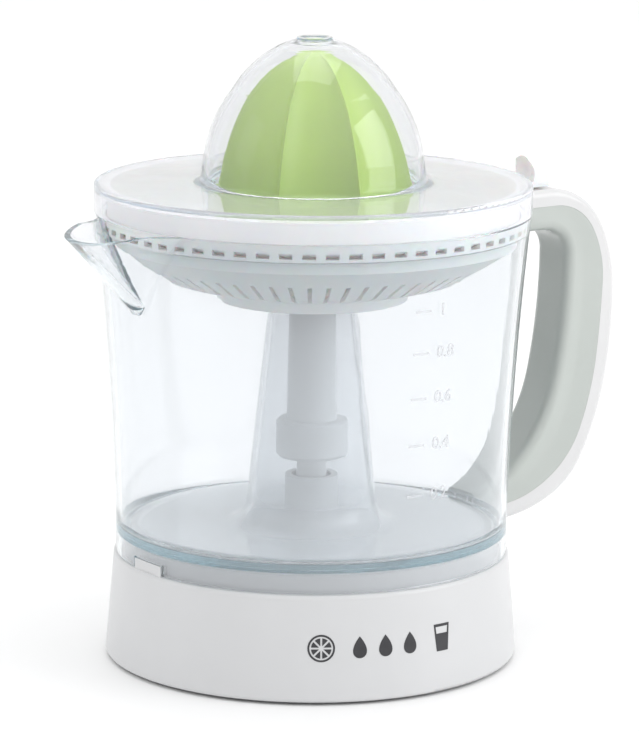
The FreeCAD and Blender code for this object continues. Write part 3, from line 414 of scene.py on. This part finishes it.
MARKS = (("0.2", 69.0), ("0.4", 86.2), ("0.6", 102.1), ("0.8", 117.5), ("1", 131.8))  # litres, mm
MARK_AZIMUTH = math.radians(-90)
MARK_DEPTH = 0.4 * MM
MARK_LIFT = 0.1 * MM
FIGURE_SIZE = 6 * MM
LINE_LEFT, LINE_RIGHT = -9 * MM, -3.2 * MM
LINE_HALF = 0.35 * MM


def jug_marks():
    """Raised litre marks on the jug: a figure and a short line for each."""
    wall = Wall("jug")
    look = Look("mark_clear", (0.80, 0.81, 0.83), 0.3, Alpha=0.35)
    look.mottle(0.004, 0.1)
    look.bump(look.noise(0.002, 2), 0.00001)
    line = [(LINE_LEFT, -LINE_HALF), (LINE_RIGHT, -LINE_HALF), (LINE_RIGHT, LINE_HALF),
            (LINE_LEFT, LINE_HALF)]
    for figures, height in MARKS:
        tag = figures.replace(".", "_")
        for kind, flat in (("figure", numeral(figures, FIGURE_SIZE, MARK_DEPTH)),
                           ("line", flat_shape([line], MARK_DEPTH))):
            piece = wrapped(f"litre_{kind}_{tag}", flat, wall, MARK_AZIMUTH, height * MM, MARK_LIFT)
            piece.data.materials.append(look.material)
            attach(piece, "jug")


SEGMENTS = 8
SEGMENT_HALF = math.radians(17)


def slice_outlines(x, radius):
    """Half a citrus fruit seen from its cut side: rind, and eight segments."""
    shapes = [circle(x, 0, radius), circle(x, 0, radius * 0.86)]
    for index in range(SEGMENTS):
        middle = math.radians(360 / SEGMENTS * (index + 0.5))
        inner = (x + radius * 0.18 * math.cos(middle), radius * 0.18 * math.sin(middle))
        points = [inner]
        for step in range(7):
            turn = middle - SEGMENT_HALF + 2 * SEGMENT_HALF * step / 6
            points.append((x + radius * 0.74 * math.cos(turn), radius * 0.74 * math.sin(turn)))
        shapes.append(points)
    return shapes


def drop_outline(x, size):
    """A drop: round below, drawn to a point above."""
    points = []
    for index in range(36):
        turn = 2 * math.pi * index / 36
        half = size * 0.42 * math.sin(turn) * math.sin(turn / 2)
        points.append((x + half, size * 0.5 * math.cos(turn)))
    return points


def tumbler_outlines(x, size):
    """A drinking glass, with its level of juice as a gap."""
    half = size / 2
    body = [(x - 0.36 * size, half), (x - 0.26 * size, -half), (x + 0.26 * size, -half),
            (x + 0.36 * size, half)]
    inside = [(x - 0.28 * size, half * 0.8), (x - 0.25 * size, half * 0.3),
              (x + 0.25 * size, half * 0.3), (x + 0.28 * size, half * 0.8)]
    return [body, inside]


PRINT_SIZE = 9.2 * MM
PRINT_REACH = 22 * MM            # from the middle drop to the fruit and to the glass
DROP_PITCH = 9 * MM
PRINT_DEPTH = 0.08 * MM
PRINT_LIFT = 0.05 * MM
PRINT_HEIGHT = 19.5 * MM
PRINT_AZIMUTH = math.radians(-104)


def base_print():
    """Plain pictograms printed on the base: a fruit, three drops and a glass."""
    shapes = slice_outlines(-PRINT_REACH, PRINT_SIZE / 2)
    for step in (-1, 0, 1):
        shapes.append(drop_outline(step * DROP_PITCH, PRINT_SIZE * 0.8))
    shapes += tumbler_outlines(PRINT_REACH, PRINT_SIZE)
    look = Look("print_grey", (0.035, 0.035, 0.04), 0.4)
    look.mottle(0.003, 0.2)
    look.bump(look.noise(0.0005, 2), 0.00001)
    flat = flat_shape(shapes, PRINT_DEPTH)
    piece = wrapped("base_print", flat, Wall("base_housing"), PRINT_AZIMUTH, PRINT_HEIGHT,
                    PRINT_LIFT)
    piece.data.materials.append(look.material)
    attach(piece, "base")


# ---------------------------------------------------------------- stage

FLOOR_HALF = 8.0


def floor():
    """A wide, plain, pale floor."""
    mesh = bpy.data.meshes.new("floor")
    half = FLOOR_HALF
    mesh.from_pydata([(-half, -half, 0), (half, -half, 0), (half, half, 0), (-half, half, 0)],
                     [], [(0, 1, 2, 3)])
    plane = bpy.data.objects.new("floor", mesh)
    bpy.context.scene.collection.objects.link(plane)
    look = Look("floor_pale", (0.96, 0.96, 0.96), 0.55)
    look.mottle(0.4, 0.008)
    plane.data.materials.append(look.material)


def softbox(name, place, target, width, height, power):
    """A rectangular lamp in watts, turned towards target."""
    lamp = bpy.data.lights.new(name, "AREA")
    lamp.shape = "RECTANGLE"
    lamp.size = width
    lamp.size_y = height
    lamp.energy = power
    holder = bpy.data.objects.new(name, lamp)
    holder.location = place
    holder.rotation_euler = (Vector(target) - Vector(place)).to_track_quat("-Z", "Y").to_euler()
    bpy.context.scene.collection.objects.link(holder)


def around(distance, azimuth, height):
    """A point at an angle round the axis, in degrees."""
    turn = math.radians(azimuth)
    return Vector((distance * math.cos(turn), distance * math.sin(turn), height))


CAMERA_AZIMUTH = -125.0          # seen from the front left, the spout to the left
CAMERA_HEADING = 54.891
CAMERA_PITCH = -11.477
CAMERA_ROLL = 0.430
CAMERA_DISTANCE = 1.3053
CAMERA_HEIGHT = 0.3658
LENS = 190.07
SENSOR = 36
MIDDLE_OF_PRESS = (0, 0, 0.1)
HORIZON_STRENGTH = 0.87
ZENITH_STRENGTH = 1.06


def lights():
    """Soft boxes from the right, the left and above, and a pale room."""
    softbox("key", around(1.5, CAMERA_AZIMUTH + 75, 0.7), MIDDLE_OF_PRESS, 1.0, 1.2, 7.5)
    softbox("fill", around(1.8, CAMERA_AZIMUTH - 80, 0.8), MIDDLE_OF_PRESS, 0.8, 1.2, 1)
    softbox("top", (0.1, 0.1, 1.8), MIDDLE_OF_PRESS, 1.2, 1.2, 5)
    world = bpy.data.worlds.new("room")
    bpy.context.scene.world = world
    world.use_nodes = True
    nodes = world.node_tree.nodes
    links = world.node_tree.links
    sky = nodes.new("ShaderNodeTexCoord")
    split = nodes.new("ShaderNodeSeparateXYZ")
    links.new(sky.outputs["Generated"], split.inputs[0])
    rise = nodes.new("ShaderNodeMapRange")
    rise.inputs["From Min"].default_value = 0.0
    rise.inputs["From Max"].default_value = 0.7
    rise.inputs["To Min"].default_value = HORIZON_STRENGTH
    rise.inputs["To Max"].default_value = ZENITH_STRENGTH
    links.new(split.outputs["Z"], rise.inputs["Value"])
    links.new(rise.outputs["Result"], nodes["Background"].inputs["Strength"])
    nodes["Background"].inputs["Color"].default_value = (1, 1, 1, 1)


def camera():
    """A long lens, a little above the press and looking down at it."""
    heading = math.radians(CAMERA_HEADING)
    pitch = math.radians(CAMERA_PITCH)
    roll = math.radians(CAMERA_ROLL)
    forward = Vector((math.cos(pitch) * math.cos(heading), math.cos(pitch) * math.sin(heading),
                      math.sin(pitch)))
    level = Vector((math.sin(heading), -math.cos(heading), 0))
    rise = level.cross(forward)
    right = level * math.cos(roll) + rise * math.sin(roll)
    up = rise * math.cos(roll) - level * math.sin(roll)
    lens = bpy.data.cameras.new("camera")
    lens.lens = LENS
    lens.sensor_width = SENSOR
    holder = bpy.data.objects.new("camera", lens)
    turn = Matrix((right, up, -forward)).transposed().to_4x4()
    place = around(CAMERA_DISTANCE, CAMERA_AZIMUTH, CAMERA_HEIGHT)
    holder.matrix_world = Matrix.Translation(place) @ turn
    bpy.context.scene.collection.objects.link(holder)
    bpy.context.scene.camera = holder


LIGHT_BOUNCES = 40               # light runs a long way inside a clear wall


def picture():
    """Plain colour, and enough bounces for light to get through the clear walls."""
    scene = bpy.context.scene
    scene.view_settings.view_transform = "Standard"
    scene.cycles.max_bounces = LIGHT_BOUNCES
    scene.cycles.glossy_bounces = LIGHT_BOUNCES
    scene.cycles.transmission_bounces = LIGHT_BOUNCES
    scene.cycles.transparent_max_bounces = LIGHT_BOUNCES
    scene.cycles.use_denoising = True


camera()
picture()
dress_nodes()
squash_spring()
jug_marks()
base_print()
floor()
lights()
